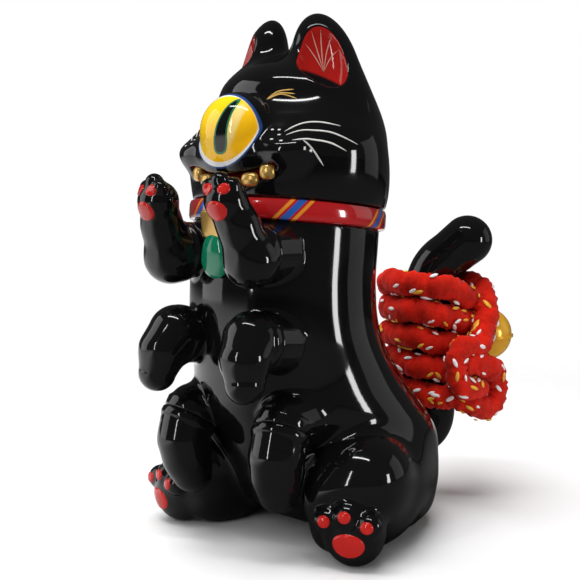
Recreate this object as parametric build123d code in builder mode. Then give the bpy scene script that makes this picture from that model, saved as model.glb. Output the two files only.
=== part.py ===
"""Seated beckoning cat figurine: hollow soft-vinyl castings that snap together and turn in their sockets.

Millimetres, +Z up. The cat faces -Y and its left side is +X. The origin is the centre of the flat base.
"""

import math
import os

from build123d import *

# --- casting ------------------------------------------------------------------------------------
vinyl_wall = 2.4
running_gap = 0.10  # radial gap of a turning neck in its socket
seam_gap = 0.30  # gap between two castings where they meet
flange_room = 0.4  # free space round a retaining flange

# --- torso: height, centre behind the neck axis, half width, half depth ---------------------------
neck_y = -35.0
torso_sections = [
    (0, 38, 33, 21),
    (6, 34, 40, 31),
    (16, 30, 44.5, 38),
    (28, 27, 46, 41.5),
    (40, 22.5, 46, 44.5),
    (52, 13.5, 43.5, 43),
    (64, 7.5, 39.4, 39.2),
    (78, 1.5, 36.5, 36),
    (95, 0, 35.2, 35),
    (112, 1.4, 35.2, 35),
    (130, 3, 35.2, 35),
]
foot_centre, foot_radius = Vector(46, neck_y - 10, 12.6), 12.8
thigh_centre, thigh_radius = Vector(33, neck_y + 14, 25), 22.0

# --- neck joint and collar ----------------------------------------------------------------------
neck_height = 121.7
neck_set_back = 2.8
neck_tilt = 5.2  # the neck leans back by this angle
collar_height = 7.5
collar_radius = 37.0
collar_bore_radius = 22.0
collar_round = 1.4
neck_plug_radius = 18.0
neck_plug_wall = 2.6
neck_flange_lip = 3.0
neck_flange_thickness = 2.0
seat_thickness = 3.0

# --- head: height above the neck plane, centre behind the neck, half width, half depth -------------
head_base = collar_height / 2 + seam_gap
head_sections = [
    (head_base, 0.6, 37.6, 35.5),
    (9, 0.2, 38.8, 35.6),
    (18, -1.4, 40, 34.6),
    (30, -2.6, 39, 33.2),
    (41, -1.2, 34.5, 28.8),
    (50, -0.6, 26, 21.5),
    (55, -0.4, 13, 10.5),
]
ear_twist = 44.0  # an ear's opening faces this far outwards
# height, centre x, centre y, half width, half thickness
ear_sections = [
    (36, 17, -2, 13, 9.5),
    (52, 17.6, -1, 13, 8),
    (62, 16.4, -1.2, 11, 6),
    (70, 13.5, -2.6, 7.5, 4.4),
    (75.5, 10.8, -4, 3, 2.4),
]
ear_cup_sections = [
    (50, 19.5, -8.5, 8.2, 6),
    (62, 17.6, -6, 7.2, 4.6),
    (71, 13.2, -5.4, 3.2, 2.2),
]

# --- arm sockets --------------------------------------------------------------------------------
boss_radius = 10.2
boss_depth = 10.0
arm_neck_radius = 6.2
arm_flange_lip = 1.8
arm_flange_thickness = 1.6
arm_bore_radius = 4.4
arm_root_radius = 9.9

# seam centre, direction out of the body, then the balls (centre, radius) that the arm runs through
arm_designs = {
    "upper": (
        Vector(17.5, neck_y - 34, 109.5),
        Vector(0, -1, 0),
        [
            (Vector(19, neck_y - 39, 107.5), 9.2),
            (Vector(18.2, neck_y - 45, 121), 7.9),
            (Vector(15.4, neck_y - 49, 128.6), 7.6),
        ],
    ),
    "middle": (
        Vector(18.5, neck_y - 34, 78.5),
        Vector(0, -1, 0.1),
        [
            (Vector(18, neck_y - 38.5, 80), 9.4),
            (Vector(21.4, neck_y - 45.2, 66.8), 6.8),
        ],
    ),
    "lower": (
        Vector(22.5, neck_y - 27.5, 47.5),
        Vector(0.1, -0.5, -0.86),
        [
            (Vector(23, neck_y - 30.5, 42.5), 9.2),
            (Vector(20.6, neck_y - 27.2, 25.5), 6.9),
        ],
    ),
}

# --- tail ---------------------------------------------------------------------------------------
tail_radius = 10.0
tail_boss_radius = 11.2
tail_neck_radius = 7.0
tail_bore_radius = 4.6
tail_wall = 2.6
tail_seam = Vector(3.2, neck_y + 71, 27)
tail_out = Vector(0.4, 0.92, 0)
tail_corner_x, tail_corner_y = 11.0, neck_y + 89.0
tail_bend = 11.0
tail_top_height = 104.0
tail_tip = Vector(24, neck_y + 95.5, 111)

# --- rope wound on the tail -----------------------------------------------------------------------
rope_diameter = 11.0
rope_bottom = 38.3
rope_turns = 6
rope_pitch = 9.6
rope_grip_gap = 0.10
coil_inside = tail_radius + rope_grip_gap
coil_outside = coil_inside + rope_diameter
coil_round = 5.0
bow_major_radius = 8.6
bow_bearing, bow_height = 108.0, 48.0  # bearings are about the tail, counted from -Y towards +X
knot_radius = 8.6
knot_bearing, knot_height = 68.0, 60.0
rope_bite = 1.6  # how far the knot and the bow press into the coil

# --- bell -----------------------------------------------------------------------------------------
bell_radius = 12.0
bell_sheet = 0.6
bell_rim_proud = 0.7
bell_rim_height = 1.2
bell_bearing = 168.0
bell_clearance = 0.9
bell_height = 67.4
bell_slot_width = 2.2
bell_slot_depth = 7.0
bell_hole_radius = 1.8
eyelet_major_radius, eyelet_wire_radius = 2.4, 0.7
eyelet_sunk = 0.5
tie_wire_radius = 0.8
tie_major_radius = 6.4
tie_droop = 30.0
pellet_radius = 2.6
pellet_gap = 0.05

# --- pendant --------------------------------------------------------------------------------------
pendant_top, pendant_bottom = 115.5, 100.0
pendant_round_radius = 6.6
pendant_shoulder = 0.55  # half width of the drop's top, as a part of its round radius
pendant_thickness = 3.2
pendant_back_y = neck_y - 35.2
bail_top, bail_bottom = 124.5, 113.8
bail_half_width, bail_foot_half_width = 6.4, 5.0
bail_back_y, bail_front_y = neck_y - 34.3, neck_y - 38.9
bail_round = 1.2


def elliptic_loft(sections, plane, shrink=0.0, twist=0.0, side=1):
    """A smooth body through ellipses, each (height, x, y, half width, half depth) in the plane's own axes."""
    with BuildPart() as lofted:
        for height, x, y, half_width, half_depth in sections:
            turned = plane.offset(height) * Plane(Location((side * x, y, 0), (0, 0, side * twist)))
            with BuildSketch(turned):
                Ellipse(half_width - shrink, half_depth - shrink)
        loft()
    return lofted.part


def ball_cone(start, start_radius, end, end_radius):
    """Two balls and the cone that wraps them both."""
    along = end - start
    slope = math.asin((start_radius - end_radius) / along.length)
    side = Vector(0, 0, 1) if abs(along.normalized().Z) < 0.9 else Vector(1, 0, 0)
    profile_plane = Plane(origin=start, x_dir=along, z_dir=along.cross(side))

    def on_ball(centre, radius, angle):
        return (centre + radius * math.cos(angle), radius * math.sin(angle))

    upright = math.pi / 2 - slope
    with BuildPart() as cone:
        with BuildSketch(profile_plane):
            with BuildLine():
                ThreePointArc(
                    on_ball(0, start_radius, math.pi),
                    on_ball(0, start_radius, (math.pi + upright) / 2),
                    on_ball(0, start_radius, upright),
                )
                Line(on_ball(0, start_radius, upright), on_ball(along.length, end_radius, upright))
                ThreePointArc(
                    on_ball(along.length, end_radius, upright),
                    on_ball(along.length, end_radius, upright / 2),
                    on_ball(along.length, end_radius, 0),
                )
                Line(on_ball(along.length, end_radius, 0), on_ball(0, start_radius, math.pi))
            make_face()
        revolve(axis=Axis(start, along))
    return cone.part


def mirrored(vector):
    """The same place or direction on the cat's other side."""
    return Vector(-vector.X, vector.Y, vector.Z)


def disc(plane, radius, low, high, bore=0.0):
    """A round bar or tube along the plane's axis, from one height to another."""
    with BuildPart() as bar:
        with BuildSketch(plane.offset(low)):
            Circle(radius)
            if bore:
                Circle(bore, mode=Mode.SUBTRACT)
        extrude(amount=high - low)
    return bar.part


def save(part, name):
    """Labels a finished piece and writes it as its own node."""
    part.label = name
    export_step(part, f"parts/{name}.step")


os.makedirs("parts", exist_ok=True)

neck_plane = Plane(
    origin=(0, neck_y + neck_set_back, neck_height),
    x_dir=(1, 0, 0),
    z_dir=(0, math.sin(math.radians(neck_tilt)), math.cos(math.radians(neck_tilt))),
)
torso_top = neck_plane.offset(-collar_height / 2)
tail_socket = Plane(origin=tail_seam, z_dir=tail_out)

arm_sockets = {}
for name, (seam, out, balls) in arm_designs.items():
    arm_sockets[f"{name}_arm_left"] = Plane(origin=seam, z_dir=out)
    arm_sockets[f"{name}_arm_right"] = Plane(origin=mirrored(seam), z_dir=mirrored(out))

# --- body shell: torso, hind legs, and a boss with a seat for each arm and the tail ---------------
torso_rings = [(z, 0, neck_y + y, a, b) for z, y, a, b in torso_sections]
cavity_rings = [(max(z, vinyl_wall), x, y, a, b) for z, x, y, a, b in torso_rings]
legs, leg_cavities = [], []
for place in (lambda v: v, mirrored):
    foot, thigh = place(foot_centre), place(thigh_centre)
    legs.append(ball_cone(foot, foot_radius, thigh, thigh_radius))
    leg_cavities.append(ball_cone(foot, foot_radius - vinyl_wall, thigh, thigh_radius - vinyl_wall))

bosses, socket_cuts = [], []
for socket in arm_sockets.values():
    bosses.append(disc(socket, boss_radius, -boss_depth, 0))
    socket_cuts.append(disc(socket, arm_neck_radius + running_gap, -boss_depth, 0))
    socket_cuts.append(disc(socket, boss_radius, 0, boss_depth))
    room = arm_neck_radius + arm_flange_lip + flange_room
    socket_cuts.append(disc(socket, room, -boss_depth - vinyl_wall, -seat_thickness))
bosses.append(disc(tail_socket, tail_boss_radius, -boss_depth, 0))
socket_cuts.append(disc(tail_socket, tail_neck_radius + running_gap, -boss_depth, 0))
room = tail_neck_radius + arm_flange_lip + flange_room
socket_cuts.append(disc(tail_socket, room, -boss_depth - vinyl_wall, -seat_thickness))

with BuildPart() as cavity:
    add(elliptic_loft(cavity_rings, Plane.XY, shrink=vinyl_wall))
    split(bisect_by=torso_top.offset(-seat_thickness), keep=Keep.BOTTOM)
    add(leg_cavities)

with BuildPart() as body_shell:
    add(elliptic_loft(torso_rings, Plane.XY))
    add(legs)
    add(bosses)
    split(bisect_by=torso_top, keep=Keep.BOTTOM)
    split(bisect_by=Plane.XY, keep=Keep.TOP)
    add(cavity.part, mode=Mode.SUBTRACT)
    add(bosses)
    add(socket_cuts, mode=Mode.SUBTRACT)
    add(disc(torso_top, neck_plug_radius + running_gap, -2 * seat_thickness, seat_thickness), mode=Mode.SUBTRACT)
save(body_shell.part, "body_shell")

# --- collar ---------------------------------------------------------------------------------------
with BuildPart() as collar:
    with BuildSketch(torso_top):
        Circle(collar_radius)
        Circle(collar_bore_radius, mode=Mode.SUBTRACT)
    extrude(amount=collar_height)
    fillet(collar.edges().filter_by(GeomType.CIRCLE).group_by(SortBy.RADIUS)[-1], collar_round)
save(collar.part, "collar")

# --- head shell: skull, cupped ears, and a neck plug that snaps through the body's top seat ---------
plug_bottom = -collar_height / 2 - seat_thickness - seam_gap - neck_flange_thickness
head_rings = [(z, 0, y, a, b) for z, y, a, b in head_sections]
head_cavity_rings = [(z + vinyl_wall * (i == 0) - vinyl_wall * (i == len(head_rings) - 1), x, y, a, b)
                     for i, (z, x, y, a, b) in enumerate(head_rings)]
ears = [elliptic_loft(ear_sections, neck_plane, twist=ear_twist, side=side) for side in (1, -1)]
ear_cups = [elliptic_loft(ear_cup_sections, neck_plane, twist=ear_twist, side=side) for side in (1, -1)]
with BuildPart() as head_shell:
    add(elliptic_loft(head_rings, neck_plane))
    add(ears)
    add(ear_cups, mode=Mode.SUBTRACT)
    add(elliptic_loft(head_cavity_rings, neck_plane, shrink=vinyl_wall), mode=Mode.SUBTRACT)
    add(disc(neck_plane, neck_plug_radius, plug_bottom, head_base + vinyl_wall))
    add(disc(neck_plane, neck_plug_radius + neck_flange_lip, plug_bottom, plug_bottom + neck_flange_thickness))
    bore_radius = neck_plug_radius - neck_plug_wall
    add(disc(neck_plane, bore_radius, plug_bottom, head_base + 2 * vinyl_wall), mode=Mode.SUBTRACT)
save(head_shell.part, "head_shell")

# --- arms: each a closed hollow form with a flanged neck -------------------------------------------
flange_top = -seat_thickness - seam_gap
flange_bottom = flange_top - arm_flange_thickness
for name, (seam, out, balls) in arm_designs.items():
    for side_name, place in (("left", lambda v: v), ("right", mirrored)):
        socket = arm_sockets[f"{name}_arm_{side_name}"]
        with BuildPart() as arm:
            for (start, start_radius), (end, end_radius) in zip(balls, balls[1:]):
                add(ball_cone(place(start), start_radius, place(end), end_radius))
            add(disc(socket, arm_root_radius, seam_gap, seam_gap + 4))
            split(bisect_by=socket.offset(seam_gap), keep=Keep.TOP)
            add(disc(socket, arm_neck_radius, flange_bottom, seam_gap + 2))
            add(disc(socket, arm_neck_radius + arm_flange_lip, flange_bottom, flange_top))
            for (start, start_radius), (end, end_radius) in zip(balls, balls[1:]):
                inner = (start_radius - vinyl_wall, end_radius - vinyl_wall)
                add(ball_cone(place(start), inner[0], place(end), inner[1]), mode=Mode.SUBTRACT)
            add(disc(socket, arm_bore_radius, flange_bottom, seam_gap + 3), mode=Mode.SUBTRACT)
        save(arm.part, f"{name}_arm_{side_name}")

# --- tail -------------------------------------------------------------------------------------------
tail_start = tail_seam + tail_out.normalized() * seam_gap
with BuildPart() as tail:
    with BuildLine() as tail_line:
        FilletPolyline(
            tail_start,
            (tail_corner_x, tail_corner_y, tail_seam.Z),
            (tail_corner_x, tail_corner_y, tail_top_height),
            tail_tip,
            radius=tail_bend,
        )
    with BuildSketch(Plane(origin=tail_start, z_dir=tail_line.line % 0)):
        Circle(tail_radius)
        Circle(tail_radius - tail_wall, mode=Mode.SUBTRACT)
    sweep()
    with Locations(tail_tip):
        Sphere(tail_radius)
        Sphere(tail_radius - tail_wall, mode=Mode.SUBTRACT)
    tip_plane = Plane(origin=tail_tip, z_dir=tail_line.line % 1)
    add(disc(tip_plane, tail_radius - tail_wall, -2 * tail_wall, 0), mode=Mode.SUBTRACT)
    split(bisect_by=tail_socket.offset(seam_gap), keep=Keep.TOP)
    add(disc(tail_socket, tail_radius - tail_wall / 2, seam_gap, seam_gap + tail_wall))
    add(disc(tail_socket, tail_neck_radius, flange_bottom, seam_gap + 2))
    add(disc(tail_socket, tail_neck_radius + arm_flange_lip, flange_bottom, flange_top))
    add(disc(tail_socket, tail_bore_radius, flange_bottom, seam_gap + 3), mode=Mode.SUBTRACT)
save(tail.part, "tail")

# --- rope: the coil's outer shape round the tail, the knot on it, and the bow below -------------------
tail_axis = Plane(origin=(tail_corner_x, tail_corner_y, 0), x_dir=(1, 0, 0), z_dir=(0, 0, 1))


def around_tail(bearing, distance, height):
    """A place at a distance from the tail's upright, on a bearing counted from -Y towards +X."""
    angle = math.radians(bearing)
    return Vector(
        tail_corner_x + distance * math.sin(angle), tail_corner_y - distance * math.cos(angle), height
    )


coil_height = (rope_turns - 1) * rope_pitch + rope_diameter
with BuildPart() as tail_rope_coil:
    with BuildSketch(tail_axis.offset(rope_bottom)):
        Circle(coil_outside)
        Circle(coil_inside, mode=Mode.SUBTRACT)
    extrude(amount=coil_height)
    fillet(tail_rope_coil.edges().filter_by(GeomType.CIRCLE).group_by(SortBy.RADIUS)[-1], coil_round)
save(tail_rope_coil.part, "tail_rope_coil")

knot_place = around_tail(knot_bearing, coil_outside + knot_radius - rope_bite, knot_height)
with BuildPart() as tail_rope_knot:
    with Locations(knot_place):
        Sphere(knot_radius)
save(tail_rope_knot.part, "tail_rope_knot")

bow_place = around_tail(bow_bearing, coil_outside + rope_diameter / 2 - rope_bite, bow_height)
bow_outward = around_tail(bow_bearing, 1, 0) - around_tail(bow_bearing, 0, 0)
with BuildPart() as tail_rope_bow:
    with BuildSketch(Plane(origin=bow_place, x_dir=bow_outward, z_dir=bow_outward.cross(Vector(0, 0, 1)))):
        with Locations((0, bow_major_radius)):
            Circle(rope_diameter / 2)
    revolve(axis=Axis(bow_place, bow_outward))
save(tail_rope_bow.part, "tail_rope_bow")

# --- bell: two crimped half shells, an eyelet, a loose pellet, and the thread that ties it to the rope ---
bell_distance = coil_outside + bell_clearance + bell_radius + bell_rim_proud
bell_centre = around_tail(bell_bearing, bell_distance, bell_height)
bell_outward = around_tail(bell_bearing, 1, 0) - around_tail(bell_bearing, 0, 0)
bell_sideways = Vector(0, 0, 1).cross(bell_outward)
bell_plane = Plane(origin=bell_centre, x_dir=bell_outward, z_dir=(0, 0, 1))
with BuildPart() as bell_upper_shell:
    with BuildSketch(Plane(origin=bell_centre, x_dir=bell_outward, z_dir=-bell_sideways)):
        Circle(bell_radius)
        Circle(bell_radius - bell_sheet, mode=Mode.SUBTRACT)
        Rectangle(4 * bell_radius, 2 * bell_radius, align=(Align.MAX, Align.CENTER), mode=Mode.SUBTRACT)
        Rectangle(4 * bell_radius, 2 * bell_radius, align=(Align.CENTER, Align.MAX), mode=Mode.SUBTRACT)
    revolve(axis=Axis(bell_centre, (0, 0, 1)))
save(bell_upper_shell.part, "bell_upper_shell")

with BuildPart() as bell_lower_shell:
    with BuildSketch(Plane(origin=bell_centre, x_dir=bell_outward, z_dir=-bell_sideways)):
        Circle(bell_radius)
        Circle(bell_radius - bell_sheet, mode=Mode.SUBTRACT)
        Rectangle(4 * bell_radius, 2 * bell_radius, align=(Align.MAX, Align.CENTER), mode=Mode.SUBTRACT)
        Rectangle(4 * bell_radius, 2 * bell_radius, align=(Align.CENTER, Align.MIN), mode=Mode.SUBTRACT)
    revolve(axis=Axis(bell_centre, (0, 0, 1)))
    add(disc(bell_plane, bell_radius + bell_rim_proud, -bell_rim_height, 0, bell_radius - bell_sheet / 2))
    with BuildSketch(bell_plane.offset(-bell_radius - 1)):
        Rectangle(bell_slot_width, 2 * bell_radius - 2 * bell_slot_depth)
        with Locations((0, bell_radius - bell_slot_depth), (0, bell_slot_depth - bell_radius)):
            Circle(bell_hole_radius)
    extrude(amount=bell_radius / 2, mode=Mode.SUBTRACT)
save(bell_lower_shell.part, "bell_lower_shell")

eyelet_centre = bell_centre + Vector(0, 0, bell_radius + eyelet_major_radius - eyelet_sunk)
with BuildPart() as bell_eyelet:
    with BuildSketch(Plane(origin=eyelet_centre, x_dir=bell_outward, z_dir=(0, 0, 1))):
        with Locations((eyelet_major_radius, 0)):
            Circle(eyelet_wire_radius)
    revolve(axis=Axis(eyelet_centre, bell_sideways))
save(bell_eyelet.part, "bell_eyelet")

with BuildPart() as bell_pellet:
    with Locations(bell_centre - Vector(0, 0, bell_radius - bell_sheet - pellet_radius - pellet_gap)):
        Sphere(pellet_radius)
save(bell_pellet.part, "bell_pellet")

eyelet_reach = eyelet_major_radius - eyelet_wire_radius - tie_wire_radius - running_gap
tie_low_point = eyelet_centre + Vector(0, 0, eyelet_reach)
droop = math.radians(tie_droop)
tie_back = Vector(0, 0, math.sin(droop)) - bell_outward * math.cos(droop)
tie_centre = tie_low_point + tie_back * tie_major_radius
with BuildPart() as bell_tie:
    with BuildSketch(Plane(origin=tie_centre, x_dir=tie_back, z_dir=bell_sideways)):
        with Locations((tie_major_radius, 0)):
            Circle(tie_wire_radius)
    revolve(axis=Axis(tie_centre, tie_back.cross(bell_sideways)))
save(bell_tie.part, "bell_tie")

# --- pendant: a drop-shaped stone under a flared cap on the collar ----------------------------------
with BuildPart() as pendant_stone:
    with BuildSketch(Plane(origin=(0, pendant_back_y, 0), x_dir=(1, 0, 0), z_dir=(0, -1, 0))):
        with BuildLine():
            drop_centre = pendant_bottom + pendant_round_radius
            shoulder = pendant_shoulder * pendant_round_radius
            Line((-shoulder, pendant_top), (-pendant_round_radius, drop_centre))
            ThreePointArc((-pendant_round_radius, drop_centre), (0, pendant_bottom), (pendant_round_radius, drop_centre))
            Line((pendant_round_radius, drop_centre), (shoulder, pendant_top))
            Line((shoulder, pendant_top), (-shoulder, pendant_top))
        make_face()
    extrude(amount=pendant_thickness)
    fillet(pendant_stone.faces().sort_by(Axis.Y)[0].edges(), pendant_thickness / 2)
save(pendant_stone.part, "pendant_stone")

with BuildPart() as pendant_cap:
    with BuildSketch(Plane(origin=(0, bail_back_y, 0), x_dir=(1, 0, 0), z_dir=(0, -1, 0))):
        Polygon(
            (-bail_foot_half_width, bail_bottom),
            (bail_foot_half_width, bail_bottom),
            (bail_half_width, bail_top),
            (-bail_half_width, bail_top),
            align=None,
        )
    extrude(amount=bail_back_y - bail_front_y)
    fillet(pendant_cap.faces().sort_by(Axis.Y)[0].edges(), bail_round)
save(pendant_cap.part, "pendant_cap")
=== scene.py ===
"""Seated beckoning cat in glossy black vinyl: finished surfaces, paint, rope and bell around the CAD frame.

Lengths in the sculpting code are millimetres in the frame's axes; everything handed to Blender is in metres.
"""

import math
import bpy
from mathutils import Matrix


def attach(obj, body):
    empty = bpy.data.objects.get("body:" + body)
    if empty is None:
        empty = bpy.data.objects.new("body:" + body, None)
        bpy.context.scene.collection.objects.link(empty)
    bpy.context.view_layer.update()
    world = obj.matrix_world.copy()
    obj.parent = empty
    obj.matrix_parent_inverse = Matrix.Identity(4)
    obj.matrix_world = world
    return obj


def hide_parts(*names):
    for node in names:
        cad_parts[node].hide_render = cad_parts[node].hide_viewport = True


bl_info = {
    "name": "Beckoning cat figurine",
    "version": (1, 0, 0),
    "blender": (4, 5, 0),
    "location": "View3D > Sidebar > Cat",
    "description": "Builds the visible pieces of a seated vinyl cat with a rope-wound tail",
    "category": "Object",
}

import bpy
import numpy as np
import openvdb
from bpy.props import FloatProperty, FloatVectorProperty, IntProperty, PointerProperty
from mathutils import Vector

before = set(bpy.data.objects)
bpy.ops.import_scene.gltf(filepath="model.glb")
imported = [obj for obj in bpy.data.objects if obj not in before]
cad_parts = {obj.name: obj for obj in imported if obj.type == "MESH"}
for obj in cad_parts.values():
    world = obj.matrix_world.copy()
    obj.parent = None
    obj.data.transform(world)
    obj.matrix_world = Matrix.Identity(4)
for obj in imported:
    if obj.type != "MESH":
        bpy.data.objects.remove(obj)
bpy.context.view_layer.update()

MM = 0.001
SIDES = (("left", 1), ("right", -1))
COARSER = 1.0


def colour(name, value, text):
    """A colour property with three channels."""
    limits = {"min": 0, "max": 1, "default": value}
    return FloatVectorProperty(name=name, description=text, subtype="COLOR", size=3, **limits)


def length(name, value, text):
    """A length property in millimetres."""
    return FloatProperty(name=name, description=text, default=value, min=0)


def number(name, value, text):
    """A whole number of at least one."""
    return IntProperty(name=name, description=text, default=value, min=1)


class CatColours(bpy.types.PropertyGroup):
    """Paints and finishes"""

    vinyl: colour("Vinyl", (0.0035, 0.0035, 0.004), "Black gloss of the castings")
    paint_red: colour("Paint red", (0.52, 0.014, 0.01), "Ears, mouth and paw pads")
    paint_gold: colour("Paint gold", (0.76, 0.47, 0.12), "Teeth, cap and brow lines")
    paint_white: colour("Paint white", (0.8, 0.78, 0.74), "Whiskers")
    iris: colour("Iris", (0.95, 0.62, 0.01), "Yellow of the eye")
    eye_rim: colour("Eye rim", (0.02, 0.06, 0.2), "Blue line round the eye")
    pupil_rim: colour("Pupil rim", (0.015, 0.16, 0.07), "Green line round the pupil")
    collar_red: colour("Collar red", (0.5, 0.012, 0.014), "Ground of the collar")
    stripe_gold: colour("Stripe gold", (0.75, 0.25, 0.02), "Outer stripes of the collar")
    stripe_blue: colour("Stripe blue", (0.02, 0.1, 0.42), "Middle stripe of the collar")
    jade: colour("Jade", (0.005, 0.2, 0.1), "Pendant stone")
    rope_red: colour("Rope red", (0.74, 0.012, 0.004), "Crepe of the tail's rope")
    fleck_gold: colour("Fleck gold", (0.95, 0.55, 0.06), "Gold flecks in the rope")
    bell_gold: colour("Bell gold", (1.0, 0.52, 0.03), "Plating of the bell")


class CatSizes(bpy.types.PropertyGroup):
    """Sizes in millimetres"""

    cell: length("Casting cell", 0.8, "Grid cell that the body and the tail are cut from, in millimetres")
    arm_cell: length("Arm cell", 0.5, "Grid cell that the arms are cut from, in millimetres")
    detail_cell: length("Detail cell", 0.4, "Grid cell of the teeth and the pendant, in millimetres")
    rope: length("Rope", 11.0, "Diameter of the rope, in millimetres")
    fleck_count: number("Flecks", 190, "Flecks of each colour in the rope")
    stripe_sets: number("Stripe sets", 6, "Groups of stripes round the collar")


# --- sculpting: signed distance fields, meshed on a grid and pulled onto the exact surface --------
def vec(*xyz):
    """A point or direction as an array."""
    return np.array(xyz, dtype=np.float64)


def unit(way):
    """A direction of length one."""
    way = np.asarray(way, dtype=float)
    return way / np.linalg.norm(way)


def flip(point, side):
    """The same place on the cat's other side."""
    return vec(point[0] * side, point[1], point[2])


def ball(p, centre, radius):
    return np.linalg.norm(p - centre, axis=-1) - radius


def ellipsoid(p, centre, radii, axes=None):
    """An ellipsoid; axes holds its three directions as rows."""
    q = p - centre
    if axes is not None:
        q = q @ np.asarray(axes).T
    k0 = np.linalg.norm(q / radii, axis=-1)
    k1 = np.linalg.norm(q / np.square(radii), axis=-1)
    return k0 * (k0 - 1) / np.maximum(k1, 1e-9)


def cone(p, a, b, radius_a, radius_b):
    """A straight limb whose radius runs evenly from one ball to another."""
    along = b - a
    t = np.clip(((p - a) @ along) / (along @ along), 0, 1)
    return np.linalg.norm(p - a - t[..., None] * along, axis=-1) - (radius_a + t * (radius_b - radius_a))


def limb(p, stations):
    """Cones through a list of (centre, radius), melted together."""
    d = None
    for (a, ra), (b, rb) in zip(stations, stations[1:]):
        part = cone(p, vec(*a), vec(*b), ra, rb)
        d = part if d is None else melt(d, part, 3.0)
    return d


def melt(a, b, soft):
    """Union with a fillet of about the given size."""
    h = np.maximum(soft - np.abs(a - b), 0) / soft
    return np.minimum(a, b) - h * h * soft / 4


def carve(a, b, soft):
    """What is left of a when b is cut from it, with a softened edge."""
    return -melt(-a, b, soft)


def keep(a, b, soft):
    """What a and b share, with a softened edge."""
    return -melt(-a, -b, soft)


def beyond(p, origin, normal):
    """Distance in front of a plane."""
    return (p - origin) @ unit(normal)


def eased(x, xs, ys):
    """A smooth curve through points, held level past its ends."""
    xs, ys = np.asarray(xs, float), np.asarray(ys, float)
    slopes = np.gradient(ys, xs)
    slopes[0] = slopes[-1] = 0
    x = np.clip(x, xs[0], xs[-1])
    i = np.clip(np.searchsorted(xs, x, side="right") - 1, 0, len(xs) - 2)
    h = xs[i + 1] - xs[i]
    t = (x - xs[i]) / h
    t2, t3 = t * t, t * t * t
    return (
        (2 * t3 - 3 * t2 + 1) * ys[i]
        + (t3 - 2 * t2 + t) * h * slopes[i]
        + (3 * t2 - 2 * t3) * ys[i + 1]
        + (t3 - t2) * h * slopes[i + 1]
    )


def ring_stack(p, rings):
    """A column of ellipses: rows of height, centre behind the neck, half width, half depth."""
    z, centre, wide, painted_fold_shade = np.array(rings, float).T
    a, b = eased(p[..., 2], z, wide), eased(p[..., 2], z, painted_fold_shade)
    y = p[..., 1] - NECK_Y - eased(p[..., 2], z, centre)
    return (np.hypot(p[..., 0] / a, y / b) - 1) * np.minimum(a, b)


def drum(p, origin, direction, radius, low, high, soft):
    """A round bar along a direction, between two distances from its origin."""
    direction = unit(direction)
    q = p - origin
    along = q @ direction
    side = np.linalg.norm(q - along[..., None] * direction, axis=-1) - radius
    return keep(keep(side, along - high, soft), low - along, soft)


def gradient(field, p, step=0.05):
    """Slope of a field at points."""
    slope = np.empty_like(p)
    for axis in range(3):
        shift = np.zeros(3)
        shift[axis] = step
        slope[:, axis] = (field(p + shift) - field(p - shift)) / (2 * step)
    return slope


def sculpt(name, field, low, high, cell):
    """Meshes a field inside a box and pulls every point onto the field's exact surface in three rounds."""
    low, high = np.asarray(low, float) - 2 * cell, np.asarray(high, float) + 2 * cell
    counts = np.ceil((high - low) / cell).astype(int) + 1
    xs, ys, zs = (low[i] + cell * np.arange(counts[i]) for i in range(3))
    values = np.empty(counts, dtype=np.float32)
    yz = np.stack(np.meshgrid(ys, zs, indexing="ij"), -1)
    for i, x in enumerate(xs):
        values[i] = field(np.concatenate([np.full(yz.shape[:2] + (1,), x), yz], axis=-1))
    grid = openvdb.FloatGrid(4 * cell)
    grid.copyFromArray(np.clip(values, -4 * cell, 4 * cell))
    points, quads = grid.convertToQuads(isovalue=0.0)
    points = points.astype(np.float64) * cell + low
    for _ in range(3):
        slope = gradient(field, points)
        size = np.maximum((slope**2).sum(1), 0.04)
        move = -(field(points) / size)[:, None] * slope
        reach = np.linalg.norm(move, axis=1, keepdims=True)
        points += move * np.minimum(1, 0.5 * cell / np.maximum(reach, 1e-9))
    return new_mesh(name, points * MM, quads[:, ::-1])


def new_mesh(name, points, faces):
    """A smooth-shaded object from points in metres and faces."""
    mesh = bpy.data.meshes.new(name)
    mesh.from_pydata([tuple(v) for v in points], [], [tuple(int(i) for i in f) for f in faces])
    mesh.validate()
    mesh.update()
    mesh.polygons.foreach_set("use_smooth", [True] * len(mesh.polygons))
    obj = bpy.data.objects.new(name, mesh)
    bpy.context.scene.collection.objects.link(obj)
    return obj


def rings_joined(rows, around, start=0):
    """Quads between neighbouring rings of points that are numbered ring by ring."""
    faces = []
    for first in range(start, start + (rows - 1) * around, around):
        for k in range(around):
            n = (k + 1) % around
            faces.append((first + k, first + n, first + around + n, first + around + k))
    return faces


def piece(obj, body, slot, material, *replaced):
    """Gives a finished object its material and its body, and hides the CAD nodes it stands for. The slot is
    not used.
    """
    obj.data.materials.clear()
    obj.data.materials.append(material)
    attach(obj, body)
    if replaced:
        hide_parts(*replaced)
    return obj


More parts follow.
